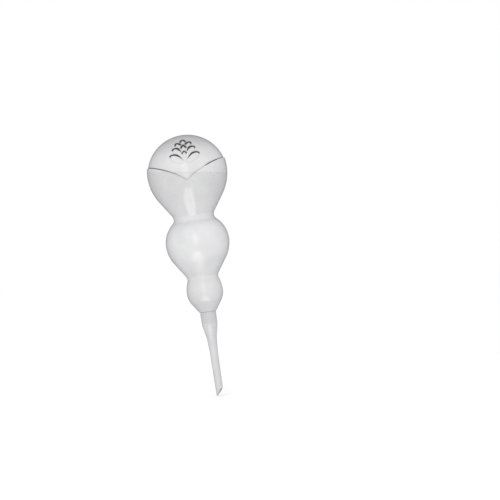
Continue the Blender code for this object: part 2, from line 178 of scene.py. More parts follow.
# Rows of the grids.
RIM_ROWS = 26
RIM_ROWS_CROWDING = 2.2  # above 1, rows crowd towards the rim
FINE_DOME_ROWS = 102
FINE_DOME_SHARE = 0.70
POLE_ROWS = 12
HOLLOW_ROWS = 46
WAIST_STEP = radians(7.0)
NECK_ROWS = (0.6 * MM - NECK_LENGTH, -0.05 * MM, 0.22 * MM)  # from, to, step
SIDE_ROW = 2.2 * MM
HOLLOW_ROW = 2.6 * MM
SPIKE_SIDES = 96
SPIKE_ROW = 1.2 * MM
SOCKET_ROWS = (SEAT_HEIGHT + 0.15 * MM, -0.35 * MM, 0.14 * MM)
TIP_ROOM = 0.5 * MM  # between the last level row and the rows of the tip
TIP_SHARES = (*np.linspace(0, 1, 9)[:-1], 0.985, 1.0)

# The water's surface is level where the globe leans to the left by this much.
LEAN = radians(8.445)
WATER_LEVEL = 140.5 * MM
WATER_GAP = 0.06 * MM
WATER_FOOT = 0.5 * MM - NECK_LENGTH
WATER_CHAMFER_WIDTH = 0.5 * MM
WATER_CHAMFER_HEIGHT = 0.3 * MM
WATER_EDGE_ROOM = 4.0 * MM  # between the last level row and the lowest edge of the surface
WATER_EDGE_ROWS = 8
SURFACE_RINGS = (0.12, 0.3, 0.6, 1.0, 1.6, 2.6, 4.5, 9.0, 18.0, 28.0)  # mm in from the wall
MENISCUS_RISE = 0.9 * MM
MENISCUS_REACH = 1.6 * MM


def arc(centre, radius, start, end, step=radians(3.0)):
    """Points (r, z) on an arc, with angles from the +r direction towards +z."""
    steps = max(2, ceil(abs(end - start) / step))
    angles = [start + (end - start) * i / steps for i in range(steps + 1)]
    return [(centre[0] + radius * cos(a), centre[1] + radius * sin(a)) for a in angles]


def rounded(corners, step=radians(6.0)):
    """A profile through corners (r, z, fillet), with each corner rounded by its fillet."""
    points = []
    for i, (r, z, fillet) in enumerate(corners):
        if not fillet:
            points.append((r, z))
            continue
        here = Vector((r, z))
        back = (Vector(corners[i - 1][:2]) - here).normalized()
        ahead = (Vector(corners[(i + 1) % len(corners)][:2]) - here).normalized()
        half = acos(max(-1.0, min(1.0, back.dot(ahead)))) / 2
        centre = here + (back + ahead).normalized() * (fillet / sin(half))
        first = here + back * (fillet / tan(half)) - centre
        last = here + ahead * (fillet / tan(half)) - centre
        start = atan2(first.y, first.x)
        turn = (atan2(last.y, last.x) - start + pi) % (2 * pi) - pi
        points += arc(centre, fillet, start, start + turn, min(step, abs(turn) / 3))
    return points


def spaced(points, longest):
    """The same profile with more points on its straight stretches."""
    out = [points[0]]
    for a, b in zip(points, points[1:]):
        n = max(1, ceil(hypot(b[0] - a[0], b[1] - a[1]) / longest))
        shares = [i / n for i in range(1, n + 1)]
        out += [(a[0] + (b[0] - a[0]) * s, a[1] + (b[1] - a[1]) * s) for s in shares]
    return out


def cone_start(lobe):
    """Where a lobe's lower arc meets the cone below it."""
    r = lobe.radius - lobe.arc_below * (1 - cos(CONE_ANGLE))
    return r, lobe.height - lobe.arc_below * sin(CONE_ANGLE)


def waist_fillet(lobe, above):
    """Arc (centre, start, end) that joins a lobe's upper arc to the cone of the lobe above."""
    centre_r = lobe.radius - lobe.arc_above
    cone_r, cone_z = cone_start(above)
    slope = tan(CONE_ANGLE)
    offset = cone_r + WAIST_FILLET / cos(CONE_ANGLE) - slope * cone_z - centre_r
    reach = lobe.arc_above + WAIST_FILLET
    a = slope**2 + 1
    b = slope * offset - lobe.height
    c = offset**2 + lobe.height**2 - reach**2
    z = (-b + sqrt(b**2 - a * c)) / a
    r = slope * z + offset + centre_r
    towards_lobe = atan2(lobe.height - z, centre_r - r) % (2 * pi)
    return (r, z), towards_lobe, pi - CONE_ANGLE


def bulb_side(inset):
    """Profile rows from the lower lobe's cone to the top lobe's cone, moved in by an inset."""
    rows = []
    lobes = (LOWER_LOBE, MIDDLE_LOBE, TOP_LOBE)
    for lobe, above in zip(lobes, lobes[1:]):
        below = (lobe.radius - lobe.arc_below, lobe.height)
        upper = (lobe.radius - lobe.arc_above, lobe.height)
        centre, towards_lobe, towards_cone = waist_fillet(lobe, above)
        rows += arc(below, lobe.arc_below - inset, -CONE_ANGLE, 0)
        rows += arc(upper, lobe.arc_above - inset, 0, towards_lobe - pi)[1:]
        rows += arc(centre, WAIST_FILLET + inset, towards_lobe, towards_cone, WAIST_STEP)[1:]
    return rows


def top_point(angle, inset=0.0):
    """Profile points of the top lobe at angles above its widest ring."""
    angle = np.asarray(angle, float)
    reach = TOP_LOBE.arc_below - inset
    r_below = TOP_LOBE.radius - TOP_LOBE.arc_below + reach * np.cos(angle)
    z_below = TOP_LOBE.height + reach * np.sin(angle)
    r_above = (TOP_LOBE.radius - inset) * np.cos(angle)
    z_above = TOP_LOBE.height + (DOME_HEIGHT - inset) * np.sin(angle)
    return np.where(angle < 0, r_below, r_above), np.where(angle < 0, z_below, z_above)


def smooth(x):
    """0 below 0, 1 above 1, and an even curve between."""
    x = np.clip(x, 0.0, 1.0)
    return x * x * (3 - 2 * x)


def eased(x, knots):
    """A curve through knots (place, value) that is level at each of them."""
    value = knots[0][1]
    for (low, start), (high, end) in zip(knots, knots[1:]):
        value = value + (end - start) * smooth((x - low) / (high - low))
    return value


def away_from_v(azimuth):
    """Share of the way from the V, at the front or the back, to the side."""
    return np.abs(azimuth % pi - pi / 2) / (pi / 2)


def rim_angle(azimuth):
    """Height of the broad petals' rims, as an angle above the widest ring."""
    curve = 1 - (1 - away_from_v(azimuth)) ** RIM_CURVE
    return RIM_V_ANGLE + (RIM_SIDE_ANGLE - RIM_V_ANGLE) * curve


def rim_shade(azimuth):
    """How dark the painted shade along the rims' line is: it fades out towards the V, and differs
    left and right.
    """
    place = away_from_v(azimuth)
    on_left = np.cos(azimuth) < 0
    return np.where(on_left, eased(place, RIM_LINE_LEFT), eased(place, RIM_LINE_RIGHT))


def azimuths():
    """Columns round the axis, fine at the front (-Y), at the back and beside the seams."""
    fine = np.linspace(-FINE_HALF_ANGLE, FINE_HALF_ANGLE, FINE_COLUMNS + 1)
    coarse = np.linspace(FINE_HALF_ANGLE, pi - FINE_HALF_ANGLE, COARSE_COLUMNS + 1)[1:-1]
    from_side = coarse - pi / 2
    coarse = pi / 2 + from_side * (1 - SEAM_CROWDING * np.exp(-((from_side / SEAM_NEAR) ** 2)))
    half = np.concatenate([fine, coarse])
    return np.concatenate([half - pi / 2, half + pi / 2])


def mesh_object(name, verts, faces, smooth_angle=None):
    """A smooth object, with sharp edges where faces meet at more than an angle."""
    data = bpy.data.meshes.new(name)
    data.from_pydata([tuple(v) for v in verts], [], faces)
    data.update()
    item = bpy.data.objects.new(name, data)
    bpy.context.scene.collection.objects.link(item)
    data.shade_smooth()
    if smooth_angle:
        data.set_sharp_from_angle(angle=smooth_angle)
    return item


def mark(item, name, values):
    """Stores a value at each of a mesh's points, for its material."""
    layer = item.data.attributes.new(name, "FLOAT", "POINT")
    layer.data.foreach_set("value", np.asarray(values, np.float32))


class Grid:
    """Collects rings of points, and the faces between them."""

    def __init__(self):
        self.verts = []
        self.faces = []

    def ring(self, xyz):
        first = len(self.verts)
        self.verts += [tuple(p) for p in xyz]
        return range(first, len(self.verts))

    def join(self, low, high):
        """Faces between two rings. A ring may have half as many points as the other, or one."""
        a, b = len(low), len(high)
        if a == 1:
            self.faces += [(low[0], high[(i + 1) % b], high[i]) for i in range(b)]
        elif b == 1:
            self.faces += [(low[i], low[(i + 1) % a], high[0]) for i in range(a)]
        elif a == b:
            self.faces += [
                (low[i], low[(i + 1) % a], high[(i + 1) % a], high[i]) for i in range(a)
            ]
        elif b == 2 * a:
            for i in range(a):
                ends = high[(2 * i + 2) % b], high[2 * i + 1], high[2 * i]
                self.faces.append((low[i], low[(i + 1) % a], *ends))
        elif a == 2 * b:
            for i in range(b):
                ends = low[2 * i], low[2 * i + 1], low[(2 * i + 2) % a]
                self.faces.append((*ends, high[(i + 1) % b], high[i]))
        else:
            raise ValueError("rings don't match")

    def join_all(self, rings):
        for low, high in zip(rings, rings[1:]):
            self.join(low, high)


def turned(r, z, angles):
    """A ring of points. r and z are numbers, or one for each angle."""
    r = np.broadcast_to(np.asarray(r, float), angles.shape)
    z = np.broadcast_to(np.asarray(z, float), angles.shape)
    return np.column_stack([r * np.cos(angles), r * np.sin(angles), z])


def thread_rise(angle, z, start, end):
    """How far a helical ridge stands out at a place on its wall, from 0 to 1."""
    turns = (z - start) / THREAD_LEAD
    nearest = np.round(turns - angle / (2 * pi)) + angle / (2 * pi)
    from_end = np.minimum(nearest, (end - start) / THREAD_LEAD - nearest)
    along = np.clip(from_end / (THREAD_FADE / (2 * pi)) + THREAD_END_SHARE, 0, 1)
    off = np.abs(turns - nearest) * THREAD_LEAD
    flank = (THREAD_ROOT_WIDTH - THREAD_CREST_WIDTH) / 2 + 2 * THREAD_SOFTNESS
    section = smooth((THREAD_ROOT_WIDTH / 2 + THREAD_SOFTNESS - off) / flank)
    return section * smooth(along)


def fan_place(normal, at_back):
    """Places on the fan at the front or the back, as angles right of and above its centre, of
    directions from the dome's middle."""
    side = -1.0 if at_back else 1.0
    n = normal * np.array([side, side, 1.0])
    n = np.column_stack([
        n[:, 0] * cos(FAN_TURN) + n[:, 1] * sin(FAN_TURN),
        n[:, 1] * cos(FAN_TURN) - n[:, 0] * sin(FAN_TURN),
        n[:, 2],
    ])
    centre = np.array([0, -cos(FAN_CENTRE_ANGLE), sin(FAN_CENTRE_ANGLE)])
    up = np.array([0, sin(FAN_CENTRE_ANGLE), cos(FAN_CENTRE_ANGLE)])
    right = np.array([1.0, 0, 0])
    angle = np.arccos(np.clip(n @ centre, -1, 1))
    scale = 1 / np.sinc(angle / pi)
    return (n @ right) * scale, (n @ up) * scale


def petal_half_width(petal, share):
    """Half width of a petal at a share of the way from its base to its tip."""
    share = np.clip(share, 0.0, 1.0)
    side = np.where(share < PETAL_WIDEST, share / PETAL_WIDEST, (1 - share) / (1 - PETAL_WIDEST))
    power = petal.bluntness
    return petal.half_width * np.maximum(0.0, 1 - (1 - side) ** power) ** (1 / power)


def petal_outline(petal):
    """Points of a petal's outline on the fan, up one side and down the other."""
    share = (1 - np.cos(np.linspace(0, pi, OUTLINE_POINTS))) / 2
    along = petal.reach - petal.length * (1 - share)
    width = petal_half_width(petal, share)
    along = np.concatenate([along, along[-2:0:-1]])
    across = np.concatenate([width, -width[-2:0:-1]])
    c, s = cos(petal.direction), sin(petal.direction)
    return np.column_stack([along * c - across * s, along * s + across * c])


def petal_relief(petal, x, y):
    """Of places on the fan: height, distance inside the outline, share of the petal's length,
    and how far the nearest edge looks up the dome (-1 to 1)."""
    along = x * cos(petal.direction) + y * sin(petal.direction)
    across = -x * sin(petal.direction) + y * cos(petal.direction)
    share = (along - (petal.reach - petal.length)) / petal.length
    grow = np.clip(share, 0, 1)
    within = (share > 0) & (share < 1) & (np.abs(across) < petal_half_width(petal, share))
    place = np.column_stack([x, y])
    nearest = np.full(len(x), np.inf)
    looks_up = np.zeros(len(x))
    outline = petal_outline(petal)
    for a, b in zip(outline, np.roll(outline, -1, axis=0)):
        edge = b - a
        t = np.clip((place - a) @ edge / (edge @ edge), 0, 1)
        off = np.hypot(*(place - a - t[:, None] * edge).T)
        closer = off < nearest
        nearest = np.where(closer, off, nearest)
        # The outline runs clockwise seen from outside, so its left side looks out.
        looks_up = np.where(closer, edge[0] / np.hypot(*edge), looks_up)
    inside = np.where(within, nearest, -nearest) * TOP_LOBE.radius - PETAL_INSET
    height = PETAL_BASE_PROUD + (PETAL_TIP_PROUD - PETAL_BASE_PROUD) * grow**PETAL_RISE
    middle = 1 - np.clip(np.abs(across) / petal.half_width, 0, 1) ** 2
    return height + PETAL_CROWN * middle, inside, grow, looks_up


def relief(normal):
    """Height of the flower over the dome, and how much painted shade each place gets, in the
    crescents' grooves and along the petals' edges (0 to 1).
    """
    lift = np.zeros(len(normal))
    crease_shade = np.zeros(len(normal))
    petals = CENTRE_PETALS + SIDE_PETALS
    petals += tuple(p._replace(direction=pi - p.direction) for p in SIDE_PETALS)
    # From the highest tip down, so that each petal lies on those behind it.
    petals = sorted(petals, key=lambda p: p.drop - p.reach * sin(p.direction))
    for at_back in (False, True):
        x, y = fan_place(normal, at_back)
        near = (np.hypot(x, y) < FAN_LIMIT) & ((normal[:, 1] > 0) == at_back)
        if not near.any():
            continue
        x, y = x[near], y[near]
        # Grooves widen towards the crown, so that they look even from the front.
        level = np.hypot(normal[near, 0], normal[near, 1])
        tilt = 1 / np.maximum(level, 1 / GROOVE_WIDEST)
        h = np.zeros(len(x))
        dark = np.zeros(len(x))
        for petal in petals:
            middle = petal.reach - petal.length / 2
            up = y + petal.drop
            off = np.hypot(x - middle * cos(petal.direction), up - middle * sin(petal.direction))
            at = off < petal.length / 2 + PETAL_MARGIN
            top, inside, grow, looks_up = petal_relief(petal, x[at], up[at])
            cover = smooth(inside / PETAL_EDGE)
            # A crescent is pressed in above the upper edge. It is widest near the tip.
            upper = eased(looks_up, CRESCENT_FACING)
            outer = eased(grow, ((petal.marked_from, 0), (CRESCENT_FULL, 1)))
            width = GROOVE_WIDTH * petal.mark_width * upper * outer
            wide = np.maximum(width * tilt[at], GROOVE_LEAST)
            groove = np.exp(-(((inside / wide + GROOVE_OFFSET) / GROOVE_SPREAD) ** 4))
            groove *= np.clip(width / (GROOVE_SHALLOW * GROOVE_WIDTH), 0, 1)
            h[at] = h[at] * (1 - cover) + top * cover - GROOVE_DEPTH * groove
            # Painted shade fills the groove, and a faint line of it runs along the petal's edge.
            edge = EDGE_DARKNESS * np.exp(-((inside / EDGE_WIDTH) ** 2))
            drawn = np.maximum(groove * petal.mark_width, edge)
            dark[at] = np.maximum(dark[at] * (1 - cover), drawn)
        lift[near] = h
        crease_shade[near] = dark
    return lift, crease_shade


def seam(angles):
    """The fine ridge at the mould's parting line, on the left and right."""
    return np.where(np.isclose(np.sin(angles), 0), SEAM_PROUD, 0.0)


def foot_profile():
    """Rows from the neck's thread to the lower lobe's cone."""
    cone_r, cone_z = cone_start(LOWER_LOBE)
    base_r = cone_r - (cone_z - JOINT_GAP) * tan(CONE_ANGLE)
    return rounded([
        (NECK_RADIUS, -NECK_LENGTH / 2, 0),
        (NECK_RADIUS, JOINT_GAP, NECK_FILLET),
        (base_r, JOINT_GAP, BASE_ROUND),
        (cone_r, cone_z, 0),
    ])[1:-1]


def hollow_profile(inset=BULB_WALL):
    """The bulb's inside from the neck's bore to just under the crown."""
    side = bulb_side(inset)
    cone_r, cone_z = side[0]
    floor_top = JOINT_GAP + BULB_WALL
    slope_top = floor_top + BULB_WALL
    foot_r = cone_r - (cone_z - slope_top) * tan(CONE_ANGLE)
    bore = NECK_BORE - (inset - BULB_WALL)
    r, z = top_point(np.linspace(-CONE_ANGLE, pi / 2, HOLLOW_ROWS)[:-1], inset)
    return spaced([(bore, floor_top), (foot_r, slope_top), *side, *zip(r, z)], HOLLOW_ROW)


def globe_shell():
    """The bulb and its neck as one closed shell, with its relief."""
    full = azimuths()
    half, quarter = full[::2], full[::4]
    grid = Grid()
    crease_shade = []

    def ring(r, z, angles, dark=0.0):
        crease_shade.extend(np.broadcast_to(dark, angles.shape))
        return grid.ring(turned(r, z, angles))

    def pole(z):
        crease_shade.append(0.0)
        return grid.ring([(0, 0, z)])

    def top_ring(angle, lift, dark):
        """A ring of the top lobe, lifted off its plain surface."""
        r, z = top_point(angle)
        lift = lift + seam(full)
        return ring(r + lift * np.cos(angle), z + lift * np.sin(angle), full, dark)

    # Neck, from its mouth up, with the thread drawn in its rows.
    rings = [
        ring(NECK_RADIUS - NECK_CHAMFER, -NECK_LENGTH, half),
        ring(NECK_RADIUS, NECK_CHAMFER - NECK_LENGTH, half),
    ]
    for z in np.arange(*NECK_ROWS):
        rise = thread_rise(half, z, NECK_THREAD_START, NECK_THREAD_END)
        rings.append(ring(NECK_RADIUS + THREAD_HEIGHT * rise, z, half))
    foot = foot_profile()
    rings += [ring(r, z, half) for r, z in foot]
    side = spaced([foot[-1]] + bulb_side(0), SIDE_ROW)[1:]
    rings += [ring(r + seam(half), z, half) for r, z in side]

    # Top lobe, in rows that follow the broad petals' rims.
    rim = rim_angle(full)
    line = rim_shade(full)
    near_v = (RIM_SIDE_ANGLE - rim) / (RIM_SIDE_ANGLE - RIM_V_ANGLE)
    proud = RIM_PROUD + (RIM_PROUD_AT_V - RIM_PROUD) * near_v**2
    for share in 1 - (1 - np.linspace(0, 1, RIM_ROWS)) ** RIM_ROWS_CROWDING:
        dark = line * (RIM_EDGE_DARKNESS if share == 1 else 0.0)
        angle = -CONE_ANGLE + (rim + CONE_ANGLE) * share
        rings.append(top_ring(angle, proud * share**2, dark))
    # The step at the rim: a small round, a steep face, and a groove at its foot, each row with its
    # painted shade.
    for beyond, height, depth, dark in RIM_STEP:
        angle = rim + beyond * MM / TOP_LOBE.radius
        dark = np.minimum(dark * line, 1)
        rings.append(top_ring(angle, proud * height - depth * MM, dark))
    start = rim + RIM_STEP_END / TOP_LOBE.radius
    fine = np.linspace(0, FINE_DOME_SHARE, FINE_DOME_ROWS + 1)
    coarse = np.linspace(FINE_DOME_SHARE, 1, POLE_ROWS + 1)[1:-1]
    for share in (*fine, *coarse):
        angle = start + (pi / 2 - start) * share
        rings.append(top_ring(angle, *relief(turned(np.cos(angle), np.sin(angle), full))))
    rings.append(pole(CROWN_HEIGHT))
    grid.join_all(rings)

    # Inside, from the crown down to the mouth.
    inner = [pole(CROWN_HEIGHT - BULB_WALL)]
    inner += [ring(r, z, quarter) for r, z in hollow_profile()[::-1]]
    inner.append(ring(NECK_BORE, MOUTH_CHAMFER - NECK_LENGTH, quarter))
    inner.append(ring(NECK_BORE + MOUTH_CHAMFER, -NECK_LENGTH, quarter))
    grid.join_all([*inner, rings[0]])
    shell = mesh_object("globe_shell", grid.verts, grid.faces, smooth_angle=radians(50))
    mark(shell, "crease_shade", crease_shade)
    mark(shell, "inside", np.arange(len(grid.verts)) >= inner[0][0])
    return shell


def water_height(x):
    """Height of the level surface at a distance to the right of the axis."""
    return WATER_LEVEL - x * tan(LEAN)


def water_body():
    """The water: the hollow's shape up to the level surface, with a meniscus at the wall."""
    angles = azimuths()[::4]
    grid = Grid()
    radii, heights = np.array(hollow_profile(BULB_WALL + WATER_GAP)).T
    bore = NECK_BORE - WATER_GAP
    lowest_edge = min(water_height(x) for x in (-TOP_LOBE.radius, TOP_LOBE.radius))
    below = heights < lowest_edge - WATER_EDGE_ROOM
    rings = [
        grid.ring([(0, 0, WATER_FOOT)]),
        grid.ring(turned(bore - WATER_CHAMFER_WIDTH, WATER_FOOT, angles)),
        grid.ring(turned(bore, WATER_FOOT + WATER_CHAMFER_HEIGHT, angles)),
    ]
    rings += [grid.ring(turned(r, z, angles)) for r, z in zip(radii[below], heights[below])]
    # From the last of these rows on, the wall's radius is read off its profile.
    last = heights[below][-1]
    radii, heights = radii[heights >= last], heights[heights >= last]

    def wall_radius(z):
        return np.interp(z, heights, radii)

    # The wall's rows rise to the edge of the surface, which the wall draws up a little.
    edge = np.full(len(angles), WATER_LEVEL)
    for _ in range(20):  # rounds enough for the edge to settle on the sloping wall
        edge = water_height(wall_radius(edge) * np.cos(angles)) + MENISCUS_RISE
    for share in np.linspace(0, 1, WATER_EDGE_ROWS + 1)[1:]:
        z = last + (edge - last) * share
        rings.append(grid.ring(turned(wall_radius(z), z, angles)))
    for inwards in SURFACE_RINGS:
        r = wall_radius(edge) - inwards * MM
        rise = MENISCUS_RISE * np.exp(-inwards * MM / (MENISCUS_REACH / 2))
        rings.append(grid.ring(turned(r, water_height(r * np.cos(angles)) + rise, angles)))
    rings.append(grid.ring([(0, 0, WATER_LEVEL)]))
    grid.join_all(rings)
    return mesh_object("water", grid.verts, grid.faces, smooth_angle=radians(60))


def pipe_radius(z):
    """Outer radius of the spike's pipe, which narrows towards its end."""
    share = (PIPE_TOP - z) / (PIPE_TOP - TIP_HEIGHT)
    return PIPE_TOP_RADIUS + (PIPE_END_RADIUS - PIPE_TOP_RADIUS) * share


def tip_rows(angles, inset):
    """Rows (r, z, cut) from the pipe to its slanted end, where cut is 1."""
    towards_cut = np.cos(angles - TIP_CUT_FACING)
    end = np.full(len(angles), TIP_HEIGHT)
    for _ in range(10):  # rounds enough for the end to settle on the tapered pipe
        x = (pipe_radius(end) - inset) * towards_cut
        cut = TIP_HEIGHT + (x - (TIP_FLAT - PIPE_END_RADIUS)) / tan(TIP_CUT_ANGLE)
        end = np.maximum(TIP_HEIGHT, cut)
    rows = [(TIP_ROWS_FROM + (end - TIP_ROWS_FROM) * share, share) for share in TIP_SHARES]
    return [(pipe_radius(z) - inset, z, 1.0 if share == 1 else 0.0) for z, share in rows]


def spike_shell():
    """The spike with its thread inside the socket and its slanted, open tip."""
    angles = np.linspace(0, 2 * pi, SPIKE_SIDES, endpoint=False)
    outside = rounded([
        (SOCKET_BORE + SOCKET_CHAMFER, 0, 0),
        (SOCKET_RIM_RADIUS, 0, RIM_ROUND),
        (SOCKET_FOOT_RADIUS, SOCKET_FOOT, SHOULDER_ROUND),
        (SHOULDER_FOOT_RADIUS, SHOULDER_FOOT, SHOULDER_FILLET),
        (PIPE_TOP_RADIUS, PIPE_TOP, THROAT_FILLET),
        (PIPE_END_RADIUS, TIP_HEIGHT, 0),
    ])
    inside = rounded([
        (PIPE_END_RADIUS - PIPE_WALL, TIP_HEIGHT, 0),
        (PIPE_TOP_RADIUS - PIPE_WALL, PIPE_TOP, THROAT_FILLET),
        (SHOULDER_FOOT_RADIUS - PIPE_WALL, SHOULDER_FOOT, 0),
        (WASHER_BORE, SEAT_HEIGHT, 0),
        (SOCKET_BORE, SEAT_HEIGHT, 0),
    ])

    def above_tip(profile):
        rows = spaced(profile, SPIKE_ROW)
        return [(r, z, 0.0) for r, z in rows if z > TIP_ROWS_FROM + TIP_ROOM]

    rows = above_tip(outside) + tip_rows(angles, 0.0)
    rows += tip_rows(angles, PIPE_WALL)[::-1] + above_tip(inside)
    for z in np.arange(*SOCKET_ROWS):
        rise = thread_rise(angles, z, SOCKET_THREAD_START, SOCKET_THREAD_END)
        rows.append((SOCKET_BORE - (SOCKET_BORE - SOCKET_THREAD_RADIUS) * rise, z, 0.0))
    rows.append((SOCKET_BORE, -SOCKET_CHAMFER, 0.0))
    grid = Grid()
    rings = [grid.ring(turned(r, z, angles)) for r, z, _ in rows]
    # Round the section from the last row back to the first, so that all faces look outwards.
    grid.join_all([rings[0], *rings[::-1]])
    shell = mesh_object("spike_shell", grid.verts, grid.faces, smooth_angle=radians(40))
    mark(shell, "cut", np.repeat([cut for *_, cut in rows], SPIKE_SIDES))
    return shell


# Materials.

WHITE, BLACK = (1, 1, 1), (0, 0, 0)
NOISE_RANGE = (0.3, 0.7)  # where most values of a noise lie
# Of each noise: scale, detail and roughness.
CLOUD_NOISE = (38.0, 3.0, 0.55)
GRAIN_NOISE = (900.0, 2.0, 0.6)
RIPPLE_NOISE = (55.0, 2.0, 0.4)
HAZE_NOISE = (30.0, 3.0, 0.5)
DUST_NOISE = (700.0, 4.0, 0.5)
FLOOR_NOISE = (3.0, 2.0, 0.5)
# Of each bump: strength and distance.
RIPPLE_BUMP = (0.25, 0.6 * MM)
DUST_BUMP = (0.15, 0.2 * MM)

CLOUD_SHADE = 0.35
CLOUD_CLEARER = 0.04
SPECK_SCALE = 230.0
SPECK_SIZE = (0.06, 0.16)
SPECK_SHADE = 0.4
GRAIN_ROUGHER = 0.03
GRAIN_HEIGHT = 0.03  # share of the ripple's
PLASTIC_IOR = 1.45
COAT_IOR = 1.005
COAT_ROUGHNESS = 0.12
COAT_TINT = (0.865, 0.865, 0.87)
# Colour of the painted shade in the flower's grooves and along the rims.
CREASE_SHADE_COLOUR = (0.012, 0.012, 0.015)
INSIDE_COLOUR = (0.97, 0.97, 0.97)
# Amounts of painted shade, and how far some of them reach: at the crown, at the foot, on the
# socket, above the water and below it.
CROWN_SHADE = 0.26
CROWN_REACH = 24.0 * MM
FOOT_SHADE = 0.12
FOOT_REACH = 42.0 * MM
SOCKET_SHADE = 0.1
SOCKET_SHADED_FROM = SEAT_HEIGHT + 2.0 * MM
ABOVE_WATER_SHADE = 0.075
WET_SHADE = 0.12
WET_EDGE = 0.5 * MM
WET_REACH = 50.0 * MM
WET_DEEP = 0.15  # share of the wet shade that is left below its reach
WET_CLEARER = 0.05
BUBBLE_SCALE = 420.0
BUBBLE_SIZE = (0.1, 0.26)
BUBBLE_CHOICE = (0.55, 0.95)  # of the cells, by their random red value
BUBBLE_SHADE = 0.38
SATIN_HEIGHTS = (85.0 * MM, 105.0 * MM)
SATIN_ROUGHER = 0.05

WATER_COLOURS = ((0.86, 0.87, 0.88), (0.80, 0.81, 0.82))
WATER_ROUGHNESS = (0.02, 0.05)
WATER_IOR = 1.333
SILICONE_COLOURS = ((0.60, 0.60, 0.62), (0.50, 0.50, 0.52))
SILICONE_ROUGHNESS = (0.45, 0.62)
DUST_RANGE = (0.35, 0.75)


def emptied(owner):
    """The node tree of a material or world, with nothing in it."""
    owner.use_nodes = True
    owner.node_tree.nodes.clear()
    return owner.node_tree


def feed(tree, made, inputs):
    """Sets inputs of a node, each to a number or colour or from another node's output."""
    for name, value in inputs.items():
        if isinstance(value, bpy.types.NodeSocket):
            tree.links.new(value, made.inputs[name])
        elif isinstance(value, tuple):
            made.inputs[name].default_value = (*value, 1)
        else:
            made.inputs[name].default_value = value


def node(tree, kind, inputs=None, **settings):
    """A new node with its settings and inputs."""
    made = tree.nodes.new(kind)
    for key, value in settings.items():
        setattr(made, key, value)
    feed(tree, made, inputs or {})
    return made


def new_material(name):
    """A material with a Principled shader."""
    item = bpy.data.materials.new(name)
    tree = emptied(item)
    shader = node(tree, "ShaderNodeBsdfPrincipled")
    node(tree, "ShaderNodeOutputMaterial", {"Surface": shader.outputs["BSDF"]})
    return item, tree, shader


def object_place(tree):
    return node(tree, "ShaderNodeTexCoord").outputs["Object"]


def attribute(tree, name):
    return node(tree, "ShaderNodeAttribute", attribute_name=name).outputs["Fac"]


def noise(tree, place, scale, detail, roughness):
    inputs = {"Vector": place, "Scale": scale, "Detail": detail, "Roughness": roughness}
    return node(tree, "ShaderNodeTexNoise", inputs).outputs["Fac"]


def cells(tree, place, scale):
    """Distance from the middle of a random cell, and the cell's random colour."""
    made = node(tree, "ShaderNodeTexVoronoi", {"Vector": place, "Scale": scale}, feature="F1")
    return made.outputs["Distance"], made.outputs["Color"]


def ramp(tree, value, low, high, out_low, out_high):
    """A value eased from one range to another, and kept inside it."""
    inputs = {
        "Value": value, "From Min": low, "From Max": high, "To Min": out_low, "To Max": out_high
    }
    made = node(tree, "ShaderNodeMapRange", inputs, clamp=True, interpolation_type="SMOOTHSTEP")
    return made.outputs["Result"]


def maths(tree, operation, *values):
    made = node(tree, "ShaderNodeMath", dict(enumerate(values)), operation=operation)
    return made.outputs["Value"]


def blend_colour(tree, factor, low, high):
    made = node(tree, "ShaderNodeMix", data_type="RGBA")
    colours = [i for i, socket in enumerate(made.inputs) if socket.type == "RGBA"]
    feed(tree, made, {0: factor, colours[0]: low, colours[1]: high})
    return next(socket for socket in made.outputs if socket.type == "RGBA")


def bump(tree, height, strength, distance):
    inputs = {"Height": height, "Strength": strength, "Distance": distance}
    return node(tree, "ShaderNodeBump", inputs).outputs["Normal"]


